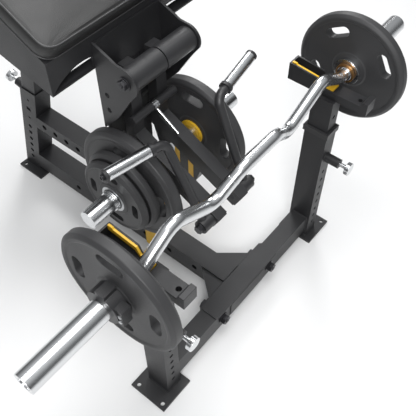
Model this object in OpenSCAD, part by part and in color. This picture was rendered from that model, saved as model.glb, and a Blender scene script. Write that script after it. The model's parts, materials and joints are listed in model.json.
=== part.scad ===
// Plate-loaded biceps machine with a racked curl bar.
// Millimetres, Z up, the two rack uprights in front (-Y), the arm pad behind (+Y), X across.
// Places along Y are written from the line through the rack uprights and shifted once by place().

/* [Floor frame] */
// Centre distance between the two rack uprights
post_span = 676; // [600:1:760]
// Width of a rack upright across the machine
post_w = 50; // [44:1:60]
// Depth of a rack upright
post_d = 70; // [60:1:80]
// Height of the top of a rack upright
post_top = 461; // [420:1:500]
// Wall of every square steel tube
tube_wall = 3; // [2.5:0.5:4]
// Diameter of the height holes in the uprights
hole_d = 12; // [10:1:14]
// Diameter of the holes along the rails and the mast
rail_hole = 18; // [12:1:20]
// Pitch of the holes along the rails and the mast
hole_pitch = 50; // [40:1:60]
// Pitch of the height holes in the rack uprights and the rear post
post_pitch = 34; // [28:1:44]
// Width of a foot plate across the machine
foot_w = 110; // [90:1:130]
// Depth of a foot plate
foot_d = 118; // [100:1:140]
// Thickness of a foot plate
foot_t = 8; // [6:1:10]
// How far each front foot plate is set outwards of its upright
foot_shift = 16; // [8:1:20]
// Height of the top of the floor beams
beam_top = 94; // [84:1:104]
// Depth of the floor beams' section along Z
beam_h = 70; // [60:1:76]
// Width of the cross beam along Y
cross_w = 53; // [46:1:60]
// Width of the long centre beam along X
centre_w = 65; // [56:1:74]

/* [Rack cradles] */
// Height of the axis of the racked curl bar
bar_h = 606.5; // [590:0.5:620]
// Distance of the bar axis in front of the upright line
bar_front = 8.5; // [4:0.5:12]
// Distance of a cradle outside the middle of its upright
cradle_shift = 12; // [0:1:16]
// Outer width of a cradle channel
cradle_w = 40; // [36:1:48]
// Reach of a cradle to the front
cradle_front = 116; // [100:1:125]
// Reach of a cradle to the back
cradle_back = 118; // [100:1:130]
// Depth of the underside of a cradle below the bar axis
cradle_depth = 39; // [35:0.5:46]
// Depth of the front lip of a cradle below the bar axis
lip_drop = 2.5; // [0:0.5:8]
// Rise of the back wall of a cradle above the bar axis
cradle_rise = 12; // [10:0.5:24]
// Thickness of a cradle wall
cradle_wall = 5; // [4:0.5:6]

/* [Curl bar] */
// Diameter of the cranked shaft
shaft_d = 31; // [27:0.5:34]
// Diameter of a bar sleeve and of a lever horn
sleeve_d = 50; // [48:0.5:52]
// Distance from the middle to the end of a sleeve
bar_half = 671; // [620:1:720]
// Distance of a sleeve collar outside the middle of an upright
collar_gap = 62; // [58:1:68]
// Width of a sleeve collar
collar_w = 15; // [10:1:20]
// Diameter of a sleeve collar
collar_d = 72; // [64:1:80]
// Radius of a plate on the curl bar
bar_plate_r = 150; // [130:1:160]
// Thickness of a plate on the curl bar
bar_plate_t = 32; // [26:1:50]
// Radius of the lock collar
lock_r = 40; // [35:1:46]
// Width of the lock collar
lock_w = 32; // [24:1:40]

/* [Mast and hub] */
// Distance of the lever axis behind the upright line
hub_y = 266; // [256:1:276]
// Height of the lever axis
hub_z = 757; // [740:1:770]
// Diameter of the lever hub tube
hub_d = 60; // [54:1:64]
// Diameter of the hub axle
axle_d = 30; // [25:1:34]
// Distance from the middle to the outer face of a hub cheek
cheek_x = 108; // [104:1:116]
// Thickness of a hub cheek and of its back wall
cheek_t = 6; // [4:0.5:8]
// Distance of the front of the mast behind the upright line
mast_y = 357; // [352:1:366]
// Width of the mast along X
mast_w = 100; // [80:1:120]
// Depth of the mast along Y
mast_d = 60; // [50:1:70]
// Height of the top of the hub bracket
mast_top = 820; // [812:1:828]
// Height of the top of the middle rail
rail_top = 290; // [260:1:310]
// Width of the middle rail
rail_w = 60; // [50:1:64]
// Height of the middle rail's section
rail_h = 50; // [40:1:60]

/* [Levers] */
// Distance from the middle to the inner face of a lever tube
lever_in = 27; // [24:1:30]
// Width of a lever tube along X
lever_w = 35; // [30:1:38]
// Depth of a lever's hanging tube
drop_d = 31; // [28:1:34]
// Depth of a lever's forward arm
arm_h = 50; // [44:1:54]
// Distance of the front face of the hanging tube behind the upright line
drop_y = 304; // [300:1:306]
// Height where the hanging tube meets the top of the forward arm
elbow_z = 543; // [530:1:552]
// Downward slope of the forward arm in degrees
arm_slope = 26; // [22:1:30]
// Distance of the tip of the forward arm behind the upright line
arm_tip = 38; // [30:1:50]
// Distance of the horn axis behind the upright line
horn_y = 265; // [258:1:272]
// Height of the horn axis
horn_z = 449; // [442:1:454]
// Distance from the middle to the end of a horn
horn_end = 282; // [260:1:310]
// Radius of the largest horn plate
big_r = 160; // [140:1:165]
// Thickness of the largest horn plate
big_t = 35; // [28:1:40]
// Radius of the middle horn plate
mid_r = 115; // [100:1:125]
// Thickness of the middle horn plate
mid_t = 28; // [22:1:32]
// Radius of the smallest horn plate
small_r = 104; // [85:1:110]
// Thickness of the smallest horn plate
small_t = 24; // [18:1:28]
// Diameter of the link bar across the levers
link_d = 22; // [18:1:25]
// Height of the link bar
link_z = 606; // [596:1:616]

/* [Handles] */
// Distance of the handle pivot behind the upright line
pivot_y = 64; // [60:1:70]
// Height of the handle pivot
pivot_z = 400; // [396:1:404]
// Diameter of the handle pivot pin
pin_d = 16; // [12:1:18]
// Diameter of the handle pivot barrel
pivot_d = 38; // [34:1:42]
// Diameter of the bent handle tube
handle_d = 24; // [20:1:26]
// Diameter of a grip sleeve
grip_d = 30; // [28:1:34]
// Length of a grip sleeve
grip_len = 118; // [100:1:130]

/* [Pad support] */
// Distance of the rear foot behind the upright line
rear_y = 892; // [870:1:910]
// Forward lean of the rear post in degrees
rear_lean = 13.8; // [10:0.1:15]
// Height of the top of the outer rear tube
rear_top = 392; // [370:1:410]
// Depth of the outer rear tube
rear_d = 66; // [60:1:76]
// Width of the outer rear tube along X
rear_w = 60; // [54:1:66]
// Half width of the pad support
console_half = 232; // [210:1:236]
// Height of the pad support's lower front corner
console_z = 752; // [744:1:760]
// Depth of the pad support from front to back
console_len = 345; // [320:1:360]
// Upward slope of the arm pad to the back in degrees
pad_slope = 26.5; // [22:0.5:30]
// Upward slope of the support's lower edge in degrees
skirt_slope = 12; // [9:1:14]
// Height of the pad support's upper front edge
console_top = 838; // [834:1:846]
// Half width of the arm pad
pad_half = 240; // [220:1:250]
// Length of the arm pad along its slope
pad_len = 390; // [360:1:410]
// Thickness of the arm pad at its edge
pad_t = 46; // [40:1:54]
// Rise of the arm pad's crown
pad_crown = 7; // [3:1:10]

/* [Hidden] */
$fn = 48;
// Clearances
flat_gap = 1;
run_gap = 0.05;
seat_gap = 0.2;
loose_gap = 0.3;
// Shared places
post_x = post_span / 2;
beam_low = beam_top - beam_h;
pin_z = 360;
knob_d = 38;
barrel_len = 44;
barrel_d = 28;
first_hole = 60;
neck_d = 14;
knob_reach = 78;
knob_t = 12;
slide_w = post_w - 2 * tube_wall - 2 * flat_gap;
slide_d = post_d - 2 * tube_wall - 2 * flat_gap;
slide_bottom = 175;
front_y = -max(bar_front + bar_plate_r, post_d / 2 + knob_reach, cradle_front);
collar_in = post_x + collar_gap;
cradle_bottom = bar_h - cradle_depth;
cradle_lip = bar_h - lip_drop;
cradle_rear_top = bar_h + cradle_rise;
cradle_x = post_x + cradle_shift;
channel_in = cradle_x - cradle_w / 2 + cradle_wall;
channel_out = cradle_x + cradle_w / 2 - cradle_wall;
lever_out = lever_in + lever_w;
stack_x = cheek_x + flat_gap;
arm_dir = [0, -cos(arm_slope), -sin(arm_slope)];
rear_back = rear_y + 35;
mid_y = (front_y + rear_back) / 2;
console_back = mast_y + console_len;
// Bends of the curl bar from the middle outwards: distance across, back and up from the bar axis
bends = [[63, -14, 45], [141, 3, -17], [post_x - 64, 0, 55], [collar_in - 29, 0, 0]];
bend_r = 50;
// A bend swells a little, and each straight reaches a little way into it
bend_swell = 0.4;
bend_lap = 1;
// The bar rests on the liner at the outer edge of the channel, on the underside of its last bend
end_angle = atan(bends[2][2] / (bends[3][0] - bends[2][0]));
bend_end = bends[3][0] + bend_r * tan(end_angle / 2);
under_r = bend_r + (shaft_d + bend_swell) / 2;
liner_top = bar_h + bend_r - sqrt(pow(under_r, 2) - pow(bend_end - channel_out, 2)) - seat_gap;
pad_rear_z = console_top + console_len * tan(pad_slope);

module place() translate([0, -mid_y, 0]) children();
module on_side(s) mirror([s < 0 ? 1 : 0, 0, 0]) children();
module block(x0, x1, y0, y1, z0, z1) translate([x0, y0, z0]) cube([x1 - x0, y1 - y0, z1 - z0]);
module bar_x(d, x0, x1, y, z) translate([x0, y, z]) rotate([0, 90, 0]) cylinder(h = x1 - x0, d = d);
module bar_y(d, y0, y1, x, z) translate([x, y0, z]) rotate([-90, 0, 0]) cylinder(h = y1 - y0, d = d);
module bar_z(d, z0, z1, x, y) translate([x, y, z0]) cylinder(h = z1 - z0, d = d);
// A round bar from one point to another
module bar_between(a, b, d) {
    v = b - a;
    translate(a) rotate([0, acos(v[2] / norm(v)), atan2(v[1], v[0])]) cylinder(h = norm(v), d = d);
}
// A bent round bar through a list of points, each bend an arc of radius r
function unit(v) = v / norm(v);
function bend_cut(a, b, c, r) = r * tan(acos(unit(b - a) * unit(c - b)) / 2);
module bend(a, b, c, d, r) {
    u = unit(b - a);
    v = unit(c - b);
    n = unit(cross(u, v));
    w = cross(n, u);
    o = b - u * bend_cut(a, b, c, r) + w * r;
    multmatrix([[-w[0], u[0], n[0], o[0]], [-w[1], u[1], n[1], o[1]], [-w[2], u[2], n[2], o[2]]])
        rotate_extrude(angle = acos(u * v)) translate([r, 0]) circle(d = d + bend_swell);
}
module bent_bar(points, d, r) {
    last = len(points) - 1;
    for (i = [0 : last - 1]) {
        a = points[i];
        b = points[i + 1];
        from = i == 0 ? 0 : bend_cut(points[i - 1], a, b, r) - bend_lap;
        to = i == last - 1 ? 0 : bend_cut(a, b, points[i + 2], r) - bend_lap;
        bar_between(a + unit(b - a) * from, b - unit(b - a) * to, d);
    }
    for (i = [1 : last - 1]) bend(points[i - 1], points[i], points[i + 1], d, r);
}
// A side outline in the Y-Z plane, given some width along X
module side_slab(x0, x1, points) {
    translate([x0, 0, 0]) rotate([90, 0, 90]) linear_extrude(height = x1 - x0) polygon(points);
}

// Rack uprights: square tube on a foot plate, holes up the front
module upright(s) color("#1d1e20") place() on_side(s) difference() {
    union() {
        block(post_x - post_w / 2, post_x + post_w / 2, -post_d / 2, post_d / 2, foot_t, post_top);
        bar_y(barrel_d, -post_d / 2 - barrel_len, -post_d / 2 + 1, post_x, pin_z);
    }
    block(post_x - post_w / 2 + tube_wall, post_x + post_w / 2 - tube_wall,
        -post_d / 2 + tube_wall, post_d / 2 - tube_wall, foot_t - 1, post_top + 1);
    for (z = [first_hole : post_pitch : pin_z - post_pitch])
        bar_y(hole_d, -post_d, 0, post_x, z);
    bar_y(hole_d, -post_d / 2 - barrel_len - 1, 0, post_x, pin_z);
}
module left_upright() upright(-1);
module right_upright() upright(1);

module foot(s) color("#1d1e20") place() on_side(s) difference() {
    block(post_x + foot_shift - foot_w / 2, post_x + foot_shift + foot_w / 2,
        -foot_d / 2, foot_d / 2, 0, foot_t);
    for (y = [-1, 1])
        bar_z(hole_d, -1, foot_t + 1, post_x + foot_shift + foot_w / 2 - 14, y * (foot_d / 2 - 16));
}
module left_foot() foot(-1);
module right_foot() foot(1);

// Plastic guide round the mouth of each upright, held by corner screws
cap_wall = 4;
cap_h = 14;
module guide_cap(s) color("#2b2c2e") place() on_side(s) {
    difference() {
        block(post_x - post_w / 2 - cap_wall, post_x + post_w / 2 + cap_wall,
            -post_d / 2 - cap_wall, post_d / 2 + cap_wall, post_top - cap_h, post_top + cap_wall);
        block(post_x - post_w / 2, post_x + post_w / 2, -post_d / 2, post_d / 2,
            post_top - cap_h - 1, post_top);
        block(post_x - slide_w / 2 - loose_gap, post_x + slide_w / 2 + loose_gap,
            -slide_d / 2 - loose_gap, slide_d / 2 + loose_gap, post_top - 1, post_top + cap_wall + 1);
    }
    for (x = [-1, 1], y = [-1, 1])
        bar_z(5, post_top + cap_wall, post_top + cap_wall + 2,
            post_x + x * (post_w / 2 - 1), y * (post_d / 2 - 1));
}
module left_guide_cap() guide_cap(-1);
module right_guide_cap() guide_cap(1);

// Telescoping inner post that carries a cradle
module slide_post(s) color("#26272a") place() on_side(s) difference() {
    block(post_x - slide_w / 2, post_x + slide_w / 2, -slide_d / 2, slide_d / 2,
        slide_bottom, cradle_bottom);
    block(post_x - slide_w / 2 + tube_wall, post_x + slide_w / 2 - tube_wall,
        -slide_d / 2 + tube_wall, slide_d / 2 - tube_wall, slide_bottom - 1, cradle_bottom - tube_wall);
    for (z = [pin_z - 3 * hole_pitch : hole_pitch : cradle_bottom - 30])
        bar_y(hole_d, -post_d, 0, post_x, z);
}
module left_slide_post() slide_post(-1);
module right_slide_post() slide_post(1);

// Cradle: channel along Y, cut low for the bar, with a front lip and side walls that rise behind
liner_t = 12;
floor_z = liner_top - liner_t;
side_z = liner_top - 3;
dip_back = 24;
wall_back = dip_back + 10;
wall_z = cradle_lip + 8;
rest_front = 6;
channel_front = -bar_front - rest_front - flat_gap;
module cradle(s) color("#1d1e20") place() on_side(s) difference() {
    side_slab(cradle_x - cradle_w / 2, cradle_x + cradle_w / 2, [
        [-cradle_front, cradle_bottom], [cradle_back, cradle_bottom], [cradle_back, cradle_rear_top],
        [cradle_back - 14, cradle_rear_top], [wall_back, wall_z], [dip_back, side_z],
        [-cradle_front + 20, side_z], [-cradle_front + 14, cradle_lip], [-cradle_front, cradle_lip]]);
    block(channel_in, channel_out, channel_front, cradle_back - cradle_wall,
        floor_z, cradle_rear_top + 1);
    bar_z(hole_d, floor_z - 8, cradle_lip + 1, cradle_x, -cradle_front + 30);
}
module left_cradle() cradle(-1);
module right_cradle() cradle(1);

// Yellow plastic liner: a pad under the bar and a strip along the top of the inner side wall behind it
strip_t = 6;
strip_h = 12;
tab_h = 3;
rest_back = 16;
module liner(s) color("#e8b21e") place() on_side(s) {
    block(channel_in, channel_out, -bar_front - rest_front, -bar_front + rest_back, floor_z, liner_top);
    side_slab(channel_in, channel_in + strip_t, [
        [-bar_front, floor_z], [dip_back, floor_z], [wall_back + 4, wall_z - strip_h],
        [cradle_back - cradle_wall, cradle_rear_top - strip_h],
        [cradle_back - cradle_wall, cradle_rear_top + tab_h],
        [cradle_back - cradle_wall - 12, cradle_rear_top + tab_h],
        [cradle_back - cradle_wall - 16, cradle_rear_top - 1], [wall_back, wall_z], [dip_back, liner_top],
        [-bar_front, liner_top]]);
}
module left_liner() liner(-1);
module right_liner() liner(1);

// Spring pop pin: barrel welded on, chrome shank and mushroom knob pulled outwards
pin_tip = tube_wall;
module pop_pin(y0) {
    color("#d9dbde") {
        bar_y(hole_d - 2 * run_gap, y0 - knob_reach + knob_t, y0 + pin_tip, 0, 0);
        bar_y(knob_d, y0 - knob_reach, y0 - knob_reach + knob_t, 0, 0);
        bar_y(neck_d, y0 - knob_reach + knob_t, y0 - barrel_len - 16, 0, 0);
    }
}
module left_pop_pin() place() translate([-post_x, 0, pin_z]) pop_pin(-post_d / 2);
module right_pop_pin() place() translate([post_x, 0, pin_z]) pop_pin(-post_d / 2);

// Cross beam between the uprights
module cross_beam() color("#232426") place() difference() {
    block(-post_x + post_w / 2, post_x - post_w / 2, -cross_w / 2, cross_w / 2, beam_low, beam_top);
    block(-post_x, post_x, -cross_w / 2 + tube_wall, cross_w / 2 - tube_wall,
        beam_low + tube_wall, beam_top - tube_wall);
    for (x = [-1, 1])
        bar_y(hole_d, -cross_w, cross_w, x * bolt_x, bolt_z);
}

// Flat plate with round corners over the middle of the cross beam
saddle_half = 146;
saddle_d = 62;
saddle_t = 5;
saddle_r = 12;
module saddle_plate() color("#2e2f32") place() {
    block(-saddle_half + saddle_r, saddle_half - saddle_r, -saddle_d / 2, saddle_d / 2,
        beam_top, beam_top + saddle_t);
    block(-saddle_half, saddle_half, -saddle_d / 2 + saddle_r, saddle_d / 2 - saddle_r,
        beam_top, beam_top + saddle_t);
    for (x = [-1, 1], y = [-1, 1])
        bar_z(2 * saddle_r, beam_top, beam_top + saddle_t,
            x * (saddle_half - saddle_r), y * (saddle_d / 2 - saddle_r));
}

// Bare plate on the front of the cross beam
front_half = 78;
front_t = 3;
module front_plate() color("#232426") place()
    block(-front_half, front_half, -cross_w / 2 - front_t, -cross_w / 2, beam_low + 6, beam_top - 8);

// Through bolts that hold the centre beam's flange to the cross beam
bolt_x = 113;
bolt_z = 60;
washer_d = 36;
hex_d = 30;
flange_t = 8;
flange_half = 142;
module beam_bolts() color("#3a3b3e") place() for (x = [-1, 1]) {
    bar_y(hole_d - 1, -cross_w / 2 - 18, cross_w / 2 + flange_t + 14, x * bolt_x, bolt_z);
    bar_y(washer_d, -cross_w / 2 - 2.5, -cross_w / 2, x * bolt_x, bolt_z);
    bar_y(washer_d, cross_w / 2 + flange_t, cross_w / 2 + flange_t + 2.5, x * bolt_x, bolt_z);
    translate([x * bolt_x, -cross_w / 2 - 2.5, bolt_z])
        rotate([90, 0, 0]) cylinder(h = 13, d = hex_d, $fn = 6);
    translate([x * bolt_x, cross_w / 2 + flange_t + 2.5, bolt_z])
        rotate([-90, 0, 0]) cylinder(h = 11, d = hex_d, $fn = 6);
}

// Flange on the end of the centre beam, with a flat gusset each side
gusset_leg = 84;
module beam_flange() color("#232426") place() {
    difference() {
        block(-flange_half, flange_half, cross_w / 2, cross_w / 2 + flange_t, beam_low, beam_top);
        for (x = [-1, 1])
            bar_y(hole_d, 0, cross_w, x * bolt_x, bolt_z);
    }
    for (s = [-1, 1]) on_side(s)
        translate([centre_w / 2, cross_w / 2 + flange_t, beam_top - 14]) linear_extrude(height = 8)
            polygon([[0, 0], [gusset_leg - 16, 0], [0, gusset_leg]]);
}

// Long beam on the floor from the flange to the rear post
module rear_solid(d, w, grow) {
    translate([0, rear_y, 0]) rotate([rear_lean, 0, 0])
        translate([-w / 2 - grow, -d / 2 - grow, -60]) cube([w + 2 * grow, d + 2 * grow, 1200]);
}
module centre_beam() color("#2a2b2e") place() difference() {
    block(-centre_w / 2, centre_w / 2, cross_w / 2 + flange_t, rear_y - 20, beam_low, beam_top);
    block(-centre_w / 2 + tube_wall, centre_w / 2 - tube_wall, cross_w / 2 + flange_t + 1, rear_y,
        beam_low + tube_wall, beam_top - tube_wall);
    rear_solid(rear_d, centre_w + 2, 0);
    for (y = [cross_w / 2 + 120 : 2 * hole_pitch : rear_y - 160])
        bar_x(rail_hole, -centre_w, 0, y, beam_top - beam_h / 2);
}

module middle_rail() color("#26272a") place() difference() {
    block(-rail_w / 2, rail_w / 2, mast_y + mast_d, rear_y, rail_top - rail_h, rail_top);
    block(-rail_w / 2 + tube_wall, rail_w / 2 - tube_wall, mast_y + mast_d - 1, rear_y + 1,
        rail_top - rail_h + tube_wall, rail_top - tube_wall);
    rear_solid(rear_d, rail_w + 30, 0);
    translate([0, 2 * rear_d, 0]) rear_solid(3 * rear_d, rail_w + 30, 0);
    for (y = [mast_y + mast_d + 40 : hole_pitch : rear_y - 130])
        bar_x(rail_hole, -rail_w, 0, y, rail_top - rail_h / 2);
}

// Leaning rear post: outer tube with its pin barrel behind, and the inner tube up to the pad support
rear_pin_z = 362;
module rear_post() color("#1d1e20") place() difference() {
    union() {
        intersection() {
            rear_solid(rear_d, rear_w, 0);
            block(-200, 200, 0, 2000, foot_t, rear_top);
        }
        translate([0, rear_y, 0]) rotate([rear_lean, 0, 0]) translate([0, 0, rear_pin_z])
            mirror([0, 1, 0]) bar_y(barrel_d, -rear_d / 2 - barrel_len, -rear_d / 2 + 1, 0, 0);
    }
    intersection() {
        rear_solid(rear_d - 2 * tube_wall, rear_w - 2 * tube_wall, 0);
        block(-200, 200, 0, 2000, -1, rear_top + 60);
    }
    translate([0, rear_y, 0]) rotate([rear_lean, 0, 0]) {
        translate([0, 0, rear_pin_z]) bar_y(hole_d, 0, 200, 0, 0);
        for (z = [first_hole : post_pitch : first_hole + 5 * post_pitch])
            bar_x(hole_d + 3, -100, 0, 0, z);
        block(-100, 0, -9, 9, 312, 326);
        bar_x(8, -100, 0, 0, 276);
        bar_x(8, -100, 0, 0, rear_pin_z);
    }
}
module rear_pop_pin() place() translate([0, rear_y, 0]) rotate([rear_lean, 0, 0])
    translate([0, 0, rear_pin_z]) mirror([0, 1, 0]) pop_pin(-rear_d / 2);
module rear_foot() color("#1d1e20") place() difference() {
    block(-foot_w / 2 - 6, foot_w / 2 + 6, rear_back - foot_d + 10, rear_back, 0, foot_t);
    for (x = [-1, 1])
        bar_z(hole_d, -1, foot_t + 1, x * (foot_w / 2 - 8), rear_back - 16);
}
module rear_slide_post() color("#26272a") place() difference() {
    intersection() {
        rear_solid(rear_d - 2 * tube_wall - 2 * flat_gap, rear_w - 2 * tube_wall - 2 * flat_gap, 0);
        block(-200, 200, 0, 2000, 200, 1400);
    }
    side_slab(-200, 200, [[mast_y - 200, console_z - 200 * tan(skirt_slope)],
        [mast_y + 800, console_z + 800 * tan(skirt_slope)], [mast_y + 800, 2000], [mast_y - 200, 2000]]);
    intersection() {
        rear_solid(rear_d - 4 * tube_wall - 2 * flat_gap, rear_w - 4 * tube_wall - 2 * flat_gap, 0);
        block(-200, 200, 0, 2000, 190, 780);
    }
}

// Mast on the centre beam and the bracket that holds the lever axle
module mast() color("#222326") place() difference() {
    block(-mast_w / 2, mast_w / 2, mast_y, mast_y + mast_d, beam_top, console_z);
    block(-mast_w / 2 + tube_wall, mast_w / 2 - tube_wall, mast_y + tube_wall, mast_y + mast_d - tube_wall,
        beam_top - 1, console_z - tube_wall);
    for (z = [rail_top + hole_pitch : hole_pitch : console_z - 2 * hole_pitch])
        bar_x(rail_hole, -mast_w, 0, mast_y + mast_d / 2, z);
}
ear_r = 36;
cheek_low = 571;
web_low = 600;
module hub_bracket() color("#26272a") place() {
    for (s = [-1, 1]) on_side(s) difference() {
        union() {
            side_slab(cheek_x - cheek_t, cheek_x, [[mast_y, cheek_low], [mast_y, mast_top],
                [mast_y - 50, mast_top - 19], [mast_y - 65, mast_top - 26], [hub_y - 6, hub_z + ear_r - 1],
                [hub_y - ear_r + 2, hub_z - 14], [hub_y - 11, hub_z - 46], [mast_y - 53, hub_z - 124]]);
            bar_x(2 * ear_r, cheek_x - cheek_t, cheek_x, hub_y, hub_z);
        }
        bar_x(axle_d, cheek_x - 20, cheek_x + 20, hub_y, hub_z);
        for (z = [hub_z - 69, hub_z - 114])
            bar_x(14, cheek_x - 20, cheek_x + 20, mast_y - 26, z);
    }
    difference() {
        block(-cheek_x + cheek_t, cheek_x - cheek_t, mast_y - cheek_t, mast_y, web_low, mast_top);
        block(-30, 30, mast_y - 20, mast_y + 1, web_low + 100, web_low + 122);
    }
}
module hub_axle() color("#3a3b3e") place() {
    bar_x(axle_d, -cheek_x, cheek_x, hub_y, hub_z);
    for (s = [-1, 1]) on_side(s) {
        bar_x(34, cheek_x, cheek_x + 3, hub_y, hub_z);
        translate([cheek_x + 3, hub_y, hub_z]) rotate([0, 90, 0]) cylinder(h = 10, d = 26, $fn = 6);
        bar_x(10, cheek_x + 13, cheek_x + 15, hub_y, hub_z);
    }
}
// Plate on the mast with a rubber stop behind each hanging lever
stop_z = 566;
drop_back = drop_y + drop_d;
stop_plate_t = 12;
stop_half = cheek_x - cheek_t - 6;
module lever_stops() color("#1a1a1b") place() {
    block(-stop_half, stop_half, mast_y - stop_plate_t, mast_y, stop_z - 34, stop_z + 29);
    for (s = [-1, 1]) on_side(s)
        bar_y(26, drop_back + loose_gap, mast_y - stop_plate_t, lever_in + lever_w / 2, stop_z);
}
// Yellow gusset plates on the sides of the centre beam, just in front of the mast
fin_t = 6;
fin_back = mast_y - 19;
fin_len = 54;
module base_fins() color("#e8b21e") place() for (s = [-1, 1]) on_side(s)
    side_slab(centre_w / 2, centre_w / 2 + fin_t, [[fin_back, beam_low + 2], [fin_back, beam_top + 96],
        [fin_back - 14, beam_top + 96], [fin_back - fin_len, beam_top + 40],
        [fin_back - fin_len + 6, beam_low + 2]]);

// Lever: hub half, hanging tube, forward arm and the bracket under it for the horn
function arm_top(y) = elbow_z - (drop_y - y) * tan(arm_slope);
arm_drop = arm_h / cos(arm_slope);
bracket_low = 372;
hub_end = cheek_x - cheek_t - 1;
module lever(s) color("#2c2d30") place() on_side(s) difference() {
    union() {
        bar_x(hub_d, 1.5, hub_end, hub_y, hub_z);
        block(lever_in, lever_out, drop_y, drop_back, elbow_z - 10, hub_z - 8);
        side_slab(lever_in, lever_out, [[drop_back, arm_top(drop_back)], [arm_tip, arm_top(arm_tip)],
            [arm_tip + arm_h * sin(arm_slope), arm_top(arm_tip) - arm_h * cos(arm_slope)],
            [drop_back, arm_top(drop_back) - arm_drop]]);
        side_slab(lever_in + 4, lever_out - 4, [[170, arm_top(170) - arm_drop + 5], [188, bracket_low],
            [horn_y + 30, bracket_low], [drop_back, arm_top(drop_back) - arm_drop + 5]]);
    }
    bar_x(axle_d + 2 * run_gap, -5, hub_end + 5, hub_y, hub_z);
    bar_x(pin_d, 0, 100, pivot_y, pivot_z);
    bar_x(horn_core, 0, 100, horn_y, horn_z);
}
module left_lever() lever(-1);
module right_lever() lever(1);

// Chrome horn, thinner under its plates, and the yellow ring the first plate rests on
horn_core = 30;
ring_d = 74;
ring_t = 7;
seat_relief = 3;
seat_d = sleeve_d - seat_relief;
module horn(s) color("#dcdee0") place() on_side(s) {
    free_x = s < 0 ? stack_out + clip_turns * clip_d + 2.8 : stack_x + big_t + 2;
    bar_x(seat_d, lever_out, free_x, horn_y, horn_z);
    bar_x(sleeve_d, free_x, horn_end, horn_y, horn_z);
    bar_x(horn_core, lever_in + 4, lever_out, horn_y, horn_z);
}
module left_horn() horn(-1);
module right_horn() horn(1);
module stop_ring(s) color("#e8b21e") place() on_side(s) difference() {
    bar_x(ring_d, stack_x - ring_t, stack_x, horn_y, horn_z);
    bar_x(seat_d + 2 * run_gap, stack_x - ring_t - 1, stack_x + 1, horn_y, horn_z);
}
module left_stop_ring() stop_ring(-1);
module right_stop_ring() stop_ring(1);

// Yellow stripes on the inner face of each horn bracket
stripe_w = 17;
module stripes(s) color("#e8b21e") place() on_side(s) for (y = [196, 242])
    side_slab(lever_in + 3, lever_in + 4, [[y, bracket_low + 4], [y + stripe_w, bracket_low + 4],
        [y + stripe_w, arm_top(y + stripe_w) - arm_drop - 1], [y, arm_top(y) - arm_drop - 1]]);
module left_stripes() stripes(-1);
module right_stripes() stripes(1);

// Weight plate about the X axis, from x = 0 outwards: rim, shallow face, raised hub, oval slots
slot_turns = [0, 90, 180, 270];
module weight_plate(r, t, turn) {
    rim = r * 0.13;
    hub = 46;
    dish = 3;
    bore = sleeve_d / 2 + loose_gap;
    difference() {
        rotate([0, 90, 0]) rotate_extrude($fn = 96) polygon([
            [bore, 0], [hub, 0], [hub + 3, dish], [r - rim, dish], [r - rim + 4, 0], [r - 8, 0], [r, 7],
            [r, t - 7], [r - 8, t], [r - rim + 4, t], [r - rim, t - dish], [hub + 3, t - dish], [hub, t],
            [bore, t]]);
        for (a = slot_turns) rotate([a + turn, 0, 0]) {
            bar_x(r * 0.18, -1, t + 1, -r * 0.13, r * 0.68);
            bar_x(r * 0.18, -1, t + 1, r * 0.13, r * 0.68);
            block(-1, t + 1, -r * 0.13, r * 0.13, r * 0.59, r * 0.77);
        }
    }
}
module horn_plate(s, x, r, t) color("#28292c") place() on_side(s)
    translate([x, horn_y, horn_z]) weight_plate(r, t, 0);
module left_plate_big() horn_plate(-1, stack_x, big_r, big_t);
module left_plate_mid() horn_plate(-1, stack_x + big_t, mid_r, mid_t);
module left_plate_small() horn_plate(-1, stack_x + big_t + mid_t, small_r, small_t);
module right_plate_big() horn_plate(1, stack_x, big_r, big_t);

// Wire clip outside the left stack
stack_out = stack_x + big_t + mid_t + small_t;
clip_d = 4.4;
clip_turns = 3;
clip_in = seat_d / 2 + seat_gap;
module left_horn_clip() color("#d9dbde") place() on_side(-1)
    translate([stack_out + loose_gap, horn_y, horn_z]) rotate([0, 90, 0]) rotate_extrude()
        polygon(concat([[clip_in, 0]], [for (i = [0 : clip_turns - 1]) for (k = [0.12, 0.5, 0.88])
            [clip_in + (k == 0.5 ? clip_d : clip_d * 0.7), (i + k) * clip_d]],
            [[clip_in, clip_turns * clip_d]]));

// Handle pivot pins across the arm tips
barrel_x = 38;
module pivot_pin(s) color("#3a3b3e") place() on_side(s) {
    bar_x(pin_d, lever_in, lever_out + barrel_x + 2, pivot_y, pivot_z);
    bar_x(30, lever_out + barrel_x + 0.5, lever_out + barrel_x + 3.5, pivot_y, pivot_z);
    translate([lever_out + barrel_x + 3.5, pivot_y, pivot_z]) rotate([0, 90, 0])
        cylinder(h = 9, d = 24, $fn = 6);
}
module left_pivot_pin() pivot_pin(-1);
module right_pivot_pin() pivot_pin(1);

// Bent handle tube on its barrel, ending in the thin rod inside the grip
grip_from = [132, 176, 632];
grip_to = [268, 195, 644];
grip_dir = (grip_to - grip_from) / norm(grip_to - grip_from);
rod_d = 18;
collar_t = 10;
module handle(s) color("#26272a") place() on_side(s) {
    difference() {
        union() {
            bar_x(pivot_d, lever_out + 0.5, lever_out + barrel_x, pivot_y, pivot_z);
            bent_bar([[84, pivot_y + 4, pivot_z + 6], [96, 170, 628], grip_from + grip_dir],
                handle_d, 26);
        }
        bar_x(pin_d + 2 * run_gap, lever_out - 5, lever_out + barrel_x + 5, pivot_y, pivot_z);
    }
    bar_between(grip_from, grip_from + grip_dir * collar_t, grip_d + 4);
    bar_between(grip_from, grip_from + grip_dir * (collar_t + grip_len + 2), rod_d);
    bar_between(grip_from + grip_dir * (collar_t + grip_len + 1),
        grip_from + grip_dir * (collar_t + grip_len + 8), grip_d + 1);
}
module left_handle() handle(-1);
module right_handle() handle(1);

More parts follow.
